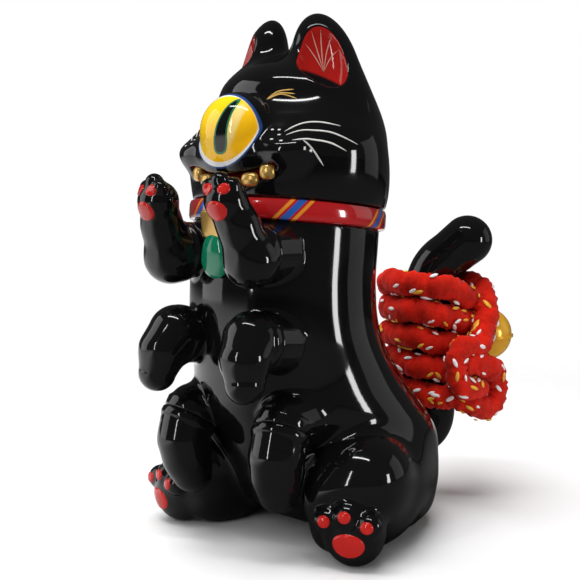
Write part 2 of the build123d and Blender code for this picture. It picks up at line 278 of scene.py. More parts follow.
# --- shaders --------------------------------------------------------------------------------------
class Wire:
    """A socket whose sums, products and powers add Math nodes."""

    def __init__(self, paint, socket):
        self.paint, self.socket = paint, socket

    def maths(self, operation, *values):
        return self.paint.node("ShaderNodeMath", {"operation": operation}, *values)

    def __add__(self, other):
        return self.maths("ADD", self, other)

    def __sub__(self, other):
        return self.maths("SUBTRACT", self, other)

    def __rsub__(self, other):
        return self.maths("SUBTRACT", other, self)

    def __mul__(self, other):
        return self.maths("MULTIPLY", self, other)

    def __truediv__(self, other):
        return self.maths("DIVIDE", self, other)

    def __pow__(self, other):
        return self.maths("POWER", self, other)

    __radd__, __rmul__ = __add__, __mul__

    def root(self):
        return self.maths("SQRT", self)

    def size(self):
        return self.maths("ABSOLUTE", self)

    def smaller(self, other):
        return self.maths("MINIMUM", self, other)

    def larger(self, other):
        return self.maths("MAXIMUM", self, other)

    def below(self, edge, soft):
        """1 where the value is under the edge, fading to 0 across a soft border."""
        settings = {"interpolation_type": "SMOOTHSTEP"}
        low, high = edge - soft / 2, edge + soft / 2
        return self.paint.node("ShaderNodeMapRange", settings, self, low, high, 1.0, 0.0)


class Nodes:
    """A node tree that grows by one node at a time."""

    def __init__(self, tree):
        self.tree = tree

    def join(self, socket, value):
        """Sets or links one input."""
        if isinstance(value, Wire):
            self.tree.links.new(value.socket, socket)
        elif socket.type == "RGBA" and len(value) == 3:
            socket.default_value = (*value, 1)
        else:
            socket.default_value = value

    def node(self, kind, settings, *values, output=0):
        """Adds a node, sets it, joins its inputs in order, and gives one output by number or name."""
        new = self.tree.nodes.new(kind)
        for key, value in settings.items():
            setattr(new, key, value)
        for socket, value in zip(new.inputs, values):
            self.join(socket, value)
        return Wire(self, new.outputs[output])


class Paint(Nodes):
    """One material, its shader and its nodes."""

    def __init__(self, name, **constants):
        self.material = bpy.data.materials.new(name)
        self.material.use_nodes = True
        super().__init__(self.material.node_tree)
        self.shader = self.tree.nodes["Principled BSDF"]
        self.coordinates = self.node("ShaderNodeTexCoord", {}, output="Object")
        for socket, value in constants.items():
            self.set(socket.replace("_", " ").title().replace("Ior", "IOR"), value)

    def set(self, socket, value):
        """Sets or links one input of the shader."""
        self.join(self.shader.inputs[socket], value)

    def place(self):
        """The surface's own x, y and z in the frame, in millimetres."""
        split = self.node("ShaderNodeSeparateXYZ", {}, self.coordinates).socket.node
        return [Wire(self, out) * 1000.0 for out in split.outputs]

    def over(self, ground, layer, mask):
        """Lays one colour over another by a mask."""
        new = self.node("ShaderNodeMix", {"data_type": "RGBA"}).socket.node
        for key, value in (("Factor_Float", mask), ("A_Color", ground), ("B_Color", layer)):
            self.join(next(s for s in new.inputs if s.identifier == key), value)
        return Wire(self, next(s for s in new.outputs if s.identifier == "Result_Color"))

    def noise(self, scale, detail=2.0, roughness=0.5):
        return self.node("ShaderNodeTexNoise", {}, self.coordinates, 0.0, scale, detail, roughness)

    def mottle(self, shade, scale, dark=0.8):
        """Colours the shader with a shade that falls to a darker one in patches, and gives their noise."""
        patches = self.noise(scale)
        darker = dark if isinstance(dark, tuple) else tuple(v * dark for v in shade)
        self.set("Base Color", self.over(darker, tuple(shade), patches))
        return patches

    def bump(self, height, distance, strength):
        new = self.node("ShaderNodeBump", {}, strength, distance)
        self.join(new.socket.node.inputs["Height"], height)
        self.set("Normal", new)


def gloss_paint(name, shade, roughness=0.12):
    """A sprayed gloss with a faint orange peel and slight tone changes."""
    paint = Paint(name, coat_weight=0.3, coat_roughness=0.04)
    tone = paint.mottle(shade, 60.0, 0.75)
    paint.set("Roughness", tone * 0.06 + (roughness - 0.03))
    paint.bump(paint.noise(900.0), 0.00001, 0.12)
    return paint.material


def gold_paint(name, shade):
    """Metallic gold paint with a fine grain."""
    paint = Paint(name, coat_weight=0.6, coat_roughness=0.06)
    grain = paint.mottle(shade, 500.0)
    paint.set("Metallic", grain * 0.1 + 0.65)
    paint.set("Roughness", grain * 0.1 + 0.25)
    return paint.material


def vinyl_paint(name, c, layers=()):
    """Black gloss vinyl, with coloured layers given as functions of the paint's own coordinates."""
    paint = Paint(name, specular_ior_level=0.55)
    x, y, z = paint.place()
    ground = tuple(c.vinyl)
    for layer in layers:
        for shade, mask in layer(paint, x, y, z):
            ground = paint.over(ground, shade, mask)
    paint.set("Base Color", ground)
    tone = paint.noise(40.0)
    paint.set("Roughness", tone * 0.04 + 0.05)
    paint.bump(paint.noise(700.0), 0.00001, 0.06)
    return paint.material


# --- shapes shared by several pieces --------------------------------------------------------------
NECK_HEIGHT, NECK_SET_BACK, NECK_TILT = 121.7, 2.8, math.radians(5.2)
COLLAR_HEIGHT, COLLAR_RADIUS = 7.5, 37.0
NECK_NORMAL = vec(0, math.sin(NECK_TILT), math.cos(NECK_TILT))
NECK_Y = -35.0
NECK = vec(0, NECK_Y + NECK_SET_BACK, NECK_HEIGHT)
SEAM_GAP = 0.3
CUT_EDGE = 0.8  # softness of an edge where a casting is cut flat
BOSS_RADIUS = 10.2
ARM_ROOT_RADIUS = 10.0

TORSO_RINGS = [
    (-4, 38, 31, 19),
    (0, 37.5, 33.5, 21),
    (6, 34, 40, 31),
    (16, 30, 44.5, 38),
    (28, 27, 46, 41.5),
    (40, 22.5, 46, 44.5),
    (52, 13.5, 43.2, 43),
    (64, 7.5, 38.8, 39.2),
    (78, 1.5, 36.2, 36),
    (95, 0, 35, 35),
    (112, 1.4, 35, 35),
    (130, 3, 35, 35),
]
HEAD_RINGS = [
    (118, 3.2, 36.9, 35.2),
    (128, 3.7, 38.6, 35.8),
    (139, 2.9, 40, 34.6),
    (147, 2.2, 40, 33.5),
    (152, 4.2, 38, 33),
    (158, 6.8, 35.2, 31),
    (164, 8.2, 33, 28.2),
    (171, 6.2, 31, 25.5),
    (182, 6.2, 27, 22),
]

# seam centre, direction out of the body, then (centre, radius) along the limb, for the left side
ARMS = {
    "upper": (
        vec(17.5, NECK_Y - 34, 109.5),
        vec(0, -1, 0),
        [
            ((18.2, NECK_Y - 35, 109), 9.9),
            ((19.4, NECK_Y - 39.5, 107.2), 9.0),
            ((18.4, NECK_Y - 44.6, 118.5), 6.9),
            ((16.2, NECK_Y - 48.4, 127), 6.7),
        ],
    ),
    "middle": (
        vec(18.5, NECK_Y - 34, 78.5),
        vec(0, -1, 0.1),
        [
            ((18.4, NECK_Y - 35, 79), 9.9),
            ((18.2, NECK_Y - 38.5, 80), 9.2),
            ((19.8, NECK_Y - 43.2, 74.0), 8.3),
            ((21.2, NECK_Y - 45.0, 65.8), 6.8),
        ],
    ),
    "lower": (
        vec(22.5, NECK_Y - 27.5, 47.5),
        vec(0.1, -0.5, -0.86),
        [
            ((22.8, NECK_Y - 29, 45), 9.9),
            ((22.8, NECK_Y - 30.4, 39), 9.3),
            ((22.1, NECK_Y - 29.4, 32), 8.6),
            ((21.4, NECK_Y - 27.6, 26.0), 7.6),
        ],
    ),
}
FOOT = vec(42.5, NECK_Y - 12.0, 13.0)
SOLE_TURN = math.radians(19)
SOLE_NORMAL = vec(math.sin(SOLE_TURN), -math.cos(SOLE_TURN), 0)
SOLE_ACROSS = vec(math.cos(SOLE_TURN), math.sin(SOLE_TURN), 0)
SOLE_PAD = vec(46.0, NECK_Y - 20.0, 10.2)
# across, up, half width, half height of each pad, from the main pad
FOOT_PADS = [(0, 0, 5.8, 4.7), (-8.6, 7.4, 2.5, 2.4), (-1.2, 9.6, 2.6, 2.4), (6.8, 6.8, 2.6, 2.4)]
PALM_TURN = math.radians(13)
PALM_NORMAL = vec(math.sin(PALM_TURN), -math.cos(PALM_TURN), 0.05)
PALM_ACROSS = vec(math.cos(PALM_TURN), math.sin(PALM_TURN), 0)
PALM_PAD = vec(16.8, NECK_Y - 52.6, 124.3)
PALM_PADS = [(0, 0, 4.3, 4.0), (-3.6, 6.4, 2.3, 2.1), (2.6, 6.4, 2.3, 2.1)]
TAIL_SEAM = vec(3.2, NECK_Y + 71, 27)
TAIL_OUT = unit((0.4, 0.92, 0))
TAIL_RADIUS = 10.0
TAIL_AXIS = vec(11, NECK_Y + 89, 0)
TAIL_TIP = vec(24, NECK_Y + 95.5, 111)


def body_field(p):
    """Torso, folded hind legs, feet and the bosses that the limbs plug into."""
    d = ring_stack(p, TORSO_RINGS)
    for _, side in SIDES:
        thigh = ellipsoid(p, flip(vec(33, NECK_Y + 9, 24), side), vec(19, 31, 24.5))
        knee = ellipsoid(p, flip(vec(43.5, NECK_Y - 3, 28.5), side), vec(12.5, 15, 14.5))
        foot = ellipsoid(p, flip(FOOT, side), vec(11.6, 10.6, 12.9))
        shin = ellipsoid(p, flip(vec(31, NECK_Y + 2, 9), side), vec(10, 19, 9.5))
        leg = melt(melt(melt(thigh, knee, 7), foot, 3), shin, 4)
        for across, up, wide, _ in FOOT_PADS[1:]:
            toe = flip(SOLE_PAD + across * SOLE_ACROSS + vec(0, 0, up - 0.3) - 2.6 * SOLE_NORMAL, side)
            leg = melt(leg, ball(p, toe, wide + 2.2), 1.4)
        d = melt(d, leg, 4)
    for name, (seam, out, _) in ARMS.items():
        for _, side in SIDES:
            origin, way = flip(seam, side), flip(out, side)
            d = carve(d, drum(p, origin, way, BOSS_RADIUS + 0.4, 0, 8, 0.4), 0.6)
            if name == "lower":
                bend = origin - 2.5 * way
                shoulder = cone(p, bend, bend + vec(0, 15, 1), BOSS_RADIUS - 0.5, BOSS_RADIUS + 1)
                d = melt(d, melt(shoulder, drum(p, origin, way, BOSS_RADIUS, -4, 0, 0.7), 1.5), 2.5)
            else:
                d = melt(d, drum(p, origin, way, BOSS_RADIUS, -12, 0, 0.7), 1.8)
    d = melt(d, drum(p, TAIL_SEAM, TAIL_OUT, 11.2, -10, 0, 0.7), 2.0)
    d = keep(d, beyond(p, NECK - (COLLAR_HEIGHT / 2) * NECK_NORMAL, NECK_NORMAL), CUT_EDGE)
    return keep(d, -p[..., 2], CUT_EDGE)


def paw_pads(name, pads, origin, across, normal, side, ground, proud, room, cell):
    """Painted pads: flat domes that stand a little proud of the paw whose field is given."""
    axes = [flip(across, side), vec(0, 0, 1), flip(normal, side)]
    low, high = room

    def field(p):
        d = None
        for right, up, wide, tall in pads:
            centre = flip(origin + right * across + vec(0, 0, up), side)
            one = ellipsoid(p, centre, vec(wide, tall, 4.0), axes)
            d = one if d is None else np.minimum(d, one)
        return keep(d, ground(p) - proud, 0.5)

    middle = flip(origin, side)
    return sculpt(name, field, middle - low, middle + high, cell)


EYE_HEIGHT = 151.5
EYE_HALF_WIDTH, EYE_HALF_HEIGHT = 13.8, 12.5
EAR_AXIS = unit((-8.2, 1.0, 30.0))
EAR_ACROSS = unit(np.cross(EAR_AXIS, unit((0.70, -0.71, 0.20))))
EAR_FACING = np.cross(EAR_ACROSS, EAR_AXIS)
EAR_CENTRE = vec(18.0, NECK_Y + 4.5, 171.0) - 2.0 * EAR_FACING
EAR_RADII = vec(13.0, 10.0, 26.4)
CUP_CENTRE = EAR_CENTRE + 9.8 * EAR_FACING + 5.8 * EAR_AXIS - 2.4 * EAR_ACROSS
CUP_RADII = vec(8.8, 6.0, 15.5)
# height of the grin's middle, how it rises and falls back with the square of the distance, and its end
MOUTH_MIDDLE, MOUTH_RISE, MOUTH_BEND, MOUTH_END = 133.6, 0.0152, 0.012, 19
STONE_Y = NECK_Y - 36.7


def ear_axes(side):
    return [flip(EAR_ACROSS, side), flip(EAR_FACING, side), flip(EAR_AXIS, side)]


def mouth_height(x):
    """Height of the grin's line at a place across the face."""
    return MOUTH_MIDDLE + MOUTH_RISE * x * x


def head_field(p):
    """Skull, cupped ears, domed eye, cheeks, the hollows beside the eye and the groove of the grin."""
    skull = ellipsoid(p, vec(0, NECK_Y + 5, 140.5), vec(43.5, 40, 40))
    d = keep(ring_stack(p, HEAD_RINGS), skull, 7)
    for _, side in SIDES:
        ear = ellipsoid(p, flip(EAR_CENTRE, side), EAR_RADII, ear_axes(side))
        cheek = ellipsoid(p, flip(vec(19.5, NECK_Y - 23.0, 145.5), side), vec(9.5, 7.5, 7.5))
        d = melt(melt(d, ear, 7), cheek, 5)
    muzzle = ellipsoid(p, vec(0, NECK_Y - 26.5, 144), vec(14, 9, 9))
    d = melt(d, muzzle, 5)
    for _, side in SIDES:
        hollow = ellipsoid(p, flip(vec(24.5, NECK_Y - 29.5, 153.8), side), vec(8, 5.6, 5))
        d = carve(d, hollow, 6)
    eye = ellipsoid(p, vec(0, NECK_Y - 24.5, EYE_HEIGHT), vec(14.8, 12.6, 14.2))
    d = melt(d, eye, 1.6)
    for _, side in SIDES:
        cup = ellipsoid(p, flip(CUP_CENTRE, side), CUP_RADII, ear_axes(side))
        d = carve(d, cup, 1.2)
    across = np.clip(p[..., 0], -MOUTH_END, MOUTH_END)
    line = np.stack([across, NECK_Y - 31.5 + MOUTH_BEND * across**2, mouth_height(across)], -1)
    opening = 2.9 - 0.005 * across**2
    groove = np.linalg.norm((p - line) * vec(1, 0.7, 1), axis=-1) - opening
    d = carve(d, groove, 1.4)
    return keep(d, -beyond(p, NECK + (COLLAR_HEIGHT / 2 + SEAM_GAP) * NECK_NORMAL, NECK_NORMAL), CUT_EDGE)


def arm_field(name, side):
    """One arm: its limb, cut flat at the seam, with toes on the paw."""
    seam, out, stations = ARMS[name]
    origin, way = flip(seam, side), flip(out, side)
    stations = [(tuple(flip(c, side)), r) for c, r in stations]

    def field(p):
        d = limb(p, stations)
        if name == "upper":
            paw = flip(vec(16.0, NECK_Y - 48.6, 127.2), side)
            d = melt(d, ellipsoid(p, paw, vec(7.4, 6.4, 6.6)), 2)
            for across, up, lift in ((-4.6, 7.4, 0), (-0.6, 9.2, 0.4), (3.9, 7.6, 0)):
                knuckle = flip(PALM_PAD + across * PALM_ACROSS + vec(0, 0, up) - 2.2 * PALM_NORMAL, side)
                d = melt(d, ball(p, knuckle, 2.9 + lift), 1.2)
        d = melt(d, drum(p, origin, way, ARM_ROOT_RADIUS, SEAM_GAP, 2.5, 0.8), 2.5)
        return keep(d, -beyond(p, origin + SEAM_GAP * unit(way), way), CUT_EDGE)

    return field


def tail_line():
    """Centre line of the tail: out of its seam, round an upward bend, up through the rope and over."""
    start = TAIL_SEAM - 4 * TAIL_OUT
    low = TAIL_AXIS + vec(0, 0, 27)
    top = TAIL_AXIS + vec(-1.5, -1.3, 97.5)
    points = [start, TAIL_SEAM + 4 * TAIL_OUT]
    for corner, before, after, reach in ((low, TAIL_SEAM, top, 11.0), (top, low, TAIL_TIP, 9.0)):
        a = corner + (before - corner) / np.linalg.norm(before - corner) * reach
        b = corner + (after - corner) / np.linalg.norm(after - corner) * reach
        for t in np.linspace(0, 1, 9):
            points.append((1 - t) ** 2 * a + 2 * t * (1 - t) * corner + t * t * b)
    points.append(TAIL_TIP)
    return points


def tail_field(p):
    """The tail, a little fatter towards its round tip."""
    line = tail_line()
    d = None
    for i, (a, b) in enumerate(zip(line, line[1:])):
        swell = 0.7 if i == len(line) - 2 else 0.0
        part = cone(p, a, b, TAIL_RADIUS, TAIL_RADIUS + swell)
        d = part if d is None else melt(d, part, 1.0)
    return keep(d, -beyond(p, TAIL_SEAM + SEAM_GAP * TAIL_OUT, TAIL_OUT), CUT_EDGE)


# --- paint layers ---------------------------------------------------------------------------------
def eye_layers(c):
    """Blue rim, white, yellow iris and a curved slit pupil with a green edge, on the front of the head, and a
    painted highlight: a pale soft streak on the iris beside the pupil.
    """

    def layer(paint, x, y, z):
        front = y.below(NECK_Y - 14, 0.2)
        up = z - EYE_HEIGHT

        def lens(right, above, wide, tall):
            across = ((x - right) / wide).size() ** 2.1
            return across + ((up - above) / tall).size() ** 1.75

        outline = lens(0, 0, EYE_HALF_WIDTH, EYE_HALF_HEIGHT)
        iris = lens(0.9, 0.6, EYE_HALF_WIDTH - 1.1, EYE_HALF_HEIGHT - 1.0)
        centre = up * 0.225 + up * up * 0.006 + 3.0

        def slit(wide, least, tall):
            across = ((x - centre) / (up * -0.09 + wide).larger(least)).size() ** 2.6
            return across + ((up - 1.3) / tall).size() ** 5.0

        inside = iris.below(1.0, 0.06) * front
        warm = (x * 0.03 - up * 0.03 + 0.35).larger(0.0).smaller(1.0)
        yellow = paint.over(tuple(c.iris), (0.95, 0.45, 0.005), warm)
        # painted highlight: a pale, soft, upright streak on the iris beside the pupil, standing for a lamp's
        # reflection on the eye
        painted_highlight = ((x - centre - 3.4) / 2.2).size() ** 2.0 + ((up - 2.5) / 7.5).size() ** 2.0
        return [
            (tuple(c.eye_rim), outline.below(1.09, 0.04) * front),
            ((0.86, 0.88, 0.9), outline.below(1.0, 0.04) * front),
            (yellow, inside),
            # the painted highlight, laid at a little over half strength on the iris
            ((0.95, 0.84, 0.4), painted_highlight.below(1.0, 0.9) * iris.below(0.9, 0.2) * front * 0.55),
            (tuple(c.pupil_rim), slit(2.6, 1.6, 9.6).below(1.0, 0.25) * inside),
            ((0.004, 0.006, 0.005), slit(1.9, 0.9, 8.8).below(1.0, 0.25) * inside),
        ]

    return layer


def ear_layers(c):
    """Red lining inside each ear's cup."""

    def layer(paint, x, y, z):
        masks = []
        for _, side in SIDES:
            total = None
            offsets = [axis - place for axis, place in zip((x, y, z), flip(CUP_CENTRE, side))]
            for direction, radius in zip(ear_axes(side), CUP_RADII):
                along = offsets[0] * direction[0] + offsets[1] * direction[1] + offsets[2] * direction[2]
                part = (along / (radius * 1.03)) ** 2.0
                total = part if total is None else total + part
            above = 1.0 - (z + x.size() * 0.5).below(181.0, 1.2)
            masks.append((tuple(v * 0.75 for v in c.paint_red), total.below(1.0, 0.05) * above))
        return masks

    return layer


def mouth_layers(c):
    """Red inside the grin."""

    def layer(paint, x, y, z):
        line = x * x * MOUTH_RISE + MOUTH_MIDDLE
        opening = 2.7 - x * x * 0.0045
        near = ((z - line).size() / opening).below(1.0, 0.1)
        inside = x.size().below(20.0, 0.4) * y.below(NECK_Y - 15, 0.2)
        return [((0.25, 0.006, 0.008), near * inside)]

    return layer


# --- operators ------------------------------------------------------------------------------------
class CatOperator:
    """What every operator here shares: the settings and a plain way to finish."""

    bl_options = {"REGISTER", "UNDO"}

    def execute(self, context):
        self.build(context.scene.cat_sizes, context.scene.cat_colours)
        return {"FINISHED"}


def look_at(obj, target):
    """Turns a camera or light towards a point."""
    way = Vector(target) - obj.location
    obj.rotation_euler = way.to_track_quat("-Z", "Y").to_euler()


CAMERA_PLACE = vec(250.7, NECK_Y - 298.7, 124.0)
CAMERA_HEADING, CAMERA_PITCH = 39.61, -4.42  # degrees from looking along +Y, and down from level
CAMERA_LENS = 64.24
FLOOR_HALF = 3.0
# name, place, width, height in metres, power in watts, and whether gloss mirrors it
LIGHTS = (
    ("overhead", (-0.15, -0.1, 1.1), 1.1, 1.1, 15.0, False),
    ("front_fill", (0.5, -0.9, 0.9), 0.8, 0.8, 3.0, False),
    ("overhead_strip", (0.1, -0.35, 0.95), 0.7, 0.05, 2.6, True),
    ("left_panel", (-1.05, -0.75, 0.45), 0.9, 1.3, 5.6, True),
    ("right_strip", (0.87, 0.18, 0.15), 0.11, 0.26, 1.3, True),
    ("front_strip", (0.05, -1.0, 0.38), 0.04, 0.6, 1.4, True),
    ("back_panel", (0.75, 0.8, 0.35), 0.6, 0.7, 0.5, True),
)


class CAT_OT_stage(CatOperator, bpy.types.Operator):
    """Camera, pale floor and soft studio lights"""

    bl_idname = "cat.stage"
    bl_label = "Stage"

    def build(self, sizes, c):
        scene = bpy.context.scene
        camera = bpy.data.objects.new("camera", bpy.data.cameras.new("camera"))
        scene.collection.objects.link(camera)
        camera.location = CAMERA_PLACE * MM
        camera.data.sensor_width = 36.0
        camera.data.lens = CAMERA_LENS
        camera.data.clip_end = 20
        camera.rotation_euler = (math.pi / 2 + math.radians(CAMERA_PITCH), 0, math.radians(CAMERA_HEADING))
        scene.camera = camera
        self.floor()
        self.world(scene)
        scene.view_settings.view_transform = "Standard"
        for name, place, wide, tall, power, mirrored in LIGHTS:
            light = bpy.data.lights.new(name, "AREA")
            light.shape, light.size, light.size_y, light.energy = "RECTANGLE", wide, tall, power
            lamp = bpy.data.objects.new(name, light)
            scene.collection.objects.link(lamp)
            lamp.location = place
            lamp.visible_glossy = mirrored
            look_at(lamp, (0, 0, 0.09))

    def floor(self):
        """A pale paper floor that fades into the white backdrop; in mirror reflections it shows a painted
        reflection instead, dim grey with a bright band towards -x.
        """
        paper = Paint("floor_paper", roughness=0.8)
        x, y, _ = paper.place()
        pale = paper.over((0.9, 0.9, 0.905), (0.94, 0.94, 0.94), paper.noise(3.0))
        paper.set("Base Color", pale)
        away = (x * x + (y - 20.0) * (y - 20.0)).root()
        paper.set("Alpha", away.below(330.0, 260.0))
        # painted reflection: what gloss sees of the floor, dark grey but bright past x = -60 mm, so that
        # sides facing -x show a pale reflection
        mirrored_floor_shade = paper.over((0.1, 0.1, 0.1), (0.85, 0.85, 0.85), x.below(-60.0, 140.0))
        dim = paper.node("ShaderNodeBsdfDiffuse", {}, mirrored_floor_shade)
        mirrored = paper.node("ShaderNodeLightPath", {}, output="Is Glossy Ray")
        mix = paper.node("ShaderNodeMixShader", {}, mirrored, Wire(paper, paper.shader.outputs[0]), dim)
        paper.join(paper.tree.nodes["Material Output"].inputs[0], mix)
        corners = [(FLOOR_HALF * x, FLOOR_HALF * y, 0) for x, y in ((-1, -1), (1, -1), (1, 1), (-1, 1))]
        floor = new_mesh("floor", corners, [(0, 1, 2, 3)])
        floor.data.materials.append(paper.material)

    def world(self, scene):
        """White behind the object, dim in its reflections."""
        world = bpy.data.worlds.new("studio")
        world.use_nodes = True
        nodes = Nodes(world.node_tree)
        white = (1, 1, 1)
        ground = world.node_tree.nodes["Background"]
        nodes.join(ground.inputs["Color"], white)
        nodes.join(ground.inputs["Strength"], 0.06)
        seen = nodes.node("ShaderNodeBackground", {}, white)
        straight = nodes.node("ShaderNodeLightPath", {}, output="Is Camera Ray")
        mix = nodes.node("ShaderNodeMixShader", {}, straight, Wire(nodes, ground.outputs[0]), seen)
        nodes.join(world.node_tree.nodes["World Output"].inputs[0], mix)
        scene.world = world


class CAT_OT_castings(CatOperator, bpy.types.Operator):
    """Body shell, head and tail in glossy black vinyl, with red pads under the feet"""

    bl_idname = "cat.castings"
    bl_label = "Body, head and tail"

    def build(self, sizes, c):
        cell = sizes.cell * COARSER
        black = vinyl_paint("black_vinyl_paint", c)
        red = gloss_paint("pad_red_paint", c.paint_red)
        body = sculpt("body_casting", body_field, (-60, NECK_Y - 45, -1), (60, NECK_Y + 75, 126), cell)
        piece(body, "torso", "black_vinyl", black, "body_shell")
        face = vinyl_paint("head_paint", c, [ear_layers(c), mouth_layers(c), eye_layers(c)])
        low, high = (-44, NECK_Y - 40, 120), (44, NECK_Y + 45, 200)
        head = sculpt("head_casting", head_field, low, high, cell * 0.85)
        piece(head, "head", "black_vinyl", face, "head_shell")
        tail = sculpt("tail_casting", tail_field, (-8, NECK_Y + 60, 12), (38, NECK_Y + 110, 124), cell)
        piece(tail, "tail", "black_vinyl", black, "tail")
        room = vec(16, 9, 7), vec(16, 9, 15)
        for side_name, side in SIDES:
            where = FOOT_PADS, SOLE_PAD, SOLE_ACROSS, SOLE_NORMAL, side
            pads = paw_pads(f"foot_pads_{side_name}", *where, body_field, 0.45, room, 0.45)
            piece(pads, "torso", "black_vinyl", red)


# place across the face, half width and half height of the teeth on one side
TEETH = ((3.5, 3.3, 2.4), (10.2, 3.3, 2.5), (16.5, 2.9, 2.8))


class CAT_OT_teeth(CatOperator, bpy.types.Operator):
    """Gold teeth along the grin"""

    bl_idname = "cat.teeth"
    bl_label = "Teeth"

    def build(self, sizes, c):
        gold = gold_paint("tooth_gold_paint", c.paint_gold)

        def field(p):
            d = None
            for x, wide, tall in TEETH:
                for _, side in SIDES:
                    turn = math.atan(2 * MOUTH_BEND * x) * side
                    outward = vec(-math.sin(turn), math.cos(turn), 0)
                    axes = [vec(math.cos(turn), math.sin(turn), 0), outward, vec(0, 0, 1)]
                    centre = vec(side * x, NECK_Y - 31.0 + MOUTH_BEND * x * x, mouth_height(x) - 0.6)
                    q = np.abs((p - centre) @ np.array(axes).T)
                    box = keep(q[..., 0] - wide, q[..., 2] - tall, 2.4)
                    one = keep(box, q[..., 1] - 2.2, 2.6)
                    d = one if d is None else np.minimum(d, one)
            return d

        low, high = (-18, NECK_Y - 36, 126), (18, NECK_Y - 24, 143)
        teeth = sculpt("gold_teeth", field, low, high, sizes.detail_cell)
        piece(teeth, "head", "gold_paint", gold)


class CAT_OT_arms(CatOperator, bpy.types.Operator):
    """Six arms, with painted pads on the raised pair"""

    bl_idname = "cat.arms"
    bl_label = "Arms"

    def build(self, sizes, c):
        cell = sizes.arm_cell * COARSER
        black = vinyl_paint("arm_vinyl_paint", c)
        red = gloss_paint("palm_red_paint", c.paint_red)
        for name, (seam, out, stations) in ARMS.items():
            for side_name, side in SIDES:
                field = arm_field(name, side)
                places = np.array([flip(vec(*centre), side) for centre, _ in stations] + [flip(seam, side)])
                node = f"{name}_arm_{side_name}"
                arm = sculpt(f"{node}_casting", field, places.min(0) - 13, places.max(0) + 13, cell)
                piece(arm, node, "black_vinyl", black, node)
                if name != "upper":
                    continue
                where = PALM_PADS, PALM_PAD, PALM_ACROSS, PALM_NORMAL, side
                room = vec(9, 6, 6), vec(9, 6, 11)
                pads = paw_pads(f"palm_pads_{side_name}", *where, field, 0.4, room, 0.35)
                piece(pads, node, "black_vinyl", red)


class CAT_OT_collar(CatOperator, bpy.types.Operator):
    """Red collar with slanted gold and blue stripes"""

    bl_idname = "cat.collar"
    bl_label = "Collar"

    def build(self, sizes, c):
        paint = Paint("collar_paint", coat_weight=1.0, coat_roughness=0.03)
        x, y, z = paint.place()
        back = y - float(NECK[1])
        bearing = x.maths("ARCTAN2", x, back * -1.0) * (180 / math.pi)
        height = (z - float(NECK[2])) + back * math.tan(NECK_TILT)
        slanted = bearing - height * 1.5
        local = x.maths("PINGPONG", slanted - 43.0, 180 / sizes.stripe_sets)
        red = paint.over(tuple(v * 0.8 for v in c.collar_red), tuple(c.collar_red), paint.noise(80.0))
        shade = paint.over(red, tuple(c.stripe_gold), (local - 5.4).size().below(1.25, 0.3))
        shade = paint.over(shade, tuple(c.stripe_blue), local.below(2.4, 0.3))
        paint.set("Base Color", shade)
        paint.set("Roughness", paint.noise(50.0) * 0.05 + 0.1)
        # inset from the collar's radius, and share of its height, of the lower half of its section
        profile = [(8, -0.5), (1.4, -0.5), (0.4, -0.44), (0, -0.28)]
        profile += [(inset, -share) for inset, share in reversed(profile)]
        section = [(COLLAR_RADIUS - inset, share * COLLAR_HEIGHT) for inset, share in profile]
        collar = lathe("collar_band", section, NECK, NECK_NORMAL, 160)
        piece(collar, "torso", "red_collar", paint.material, "collar")


def lathe(name, section, origin, axis, steps):
    """Turns a closed section, as rows of (radius, height), about an axis."""
    axis = unit(axis)
    first = unit(np.cross(axis, vec(0, 1, 0)))
    second = np.cross(axis, first)
    points = []
    for i in range(steps):
        turn = 2 * math.pi * i / steps
        way = first * math.cos(turn) + second * math.sin(turn)
        points += [tuple((origin + radius * way + height * axis) * MM) for radius, height in section]
    rows = len(section)
    faces = []
    for i in range(steps):
        j = (i + 1) % steps
        for k in range(rows):
            n = (k + 1) % rows
            faces.append((i * rows + k, j * rows + k, j * rows + n, i * rows + n))
    obj = new_mesh(name, points, faces)
    obj.data.set_sharp_from_angle(angle=math.radians(35))
    return obj


class CAT_OT_pendant(CatOperator, bpy.types.Operator):
    """Jade drop and its gold cap on the collar"""

    bl_idname = "cat.pendant"
    bl_label = "Pendant"

    def build(self, sizes, c):
        stone_paint = gloss_paint("jade_gloss", c.jade, roughness=0.1)
        cap_paint = gold_paint("cap_gold_paint", c.paint_gold)

        def stone(p):
            drop = ellipsoid(p, vec(0, STONE_Y, 107), vec(6.6, 2.4, 6.9))
            return melt(drop, ellipsoid(p, vec(0, STONE_Y, 112), vec(4.2, 2.2, 5)), 3)

        def cap(p):
            half = 5.2 + (p[..., 2] - 113.8) * 0.13
            side = np.abs(p[..., 0]) - half
            depth = np.abs(p[..., 1] - (NECK_Y - 36.5)) - 2.1
            tall = np.abs(p[..., 2] - 119.1) - 5.2
            return keep(keep(side, depth, 2.0), tall, 2.0)

        drop = sculpt("jade_drop", stone, (-9, NECK_Y - 41, 98), (9, NECK_Y - 33, 119), sizes.detail_cell)
        piece(drop, "torso", "green_stone", stone_paint, "pendant_stone")
        top = sculpt("gold_cap", cap, (-9, NECK_Y - 41, 112), (9, NECK_Y - 33, 126), sizes.detail_cell)
        piece(top, "torso", "gold_paint", cap_paint, "pendant_cap")


ROPE_BOTTOM, ROPE_PITCH, ROPE_TURNS, ROPE_STEPS = 38.3, 10.8, 4.70, 16
COIL_RADIUS = TAIL_RADIUS + 5.6
BOW_BEARING = 40  # degrees from -Y towards +X, the way that the bow faces
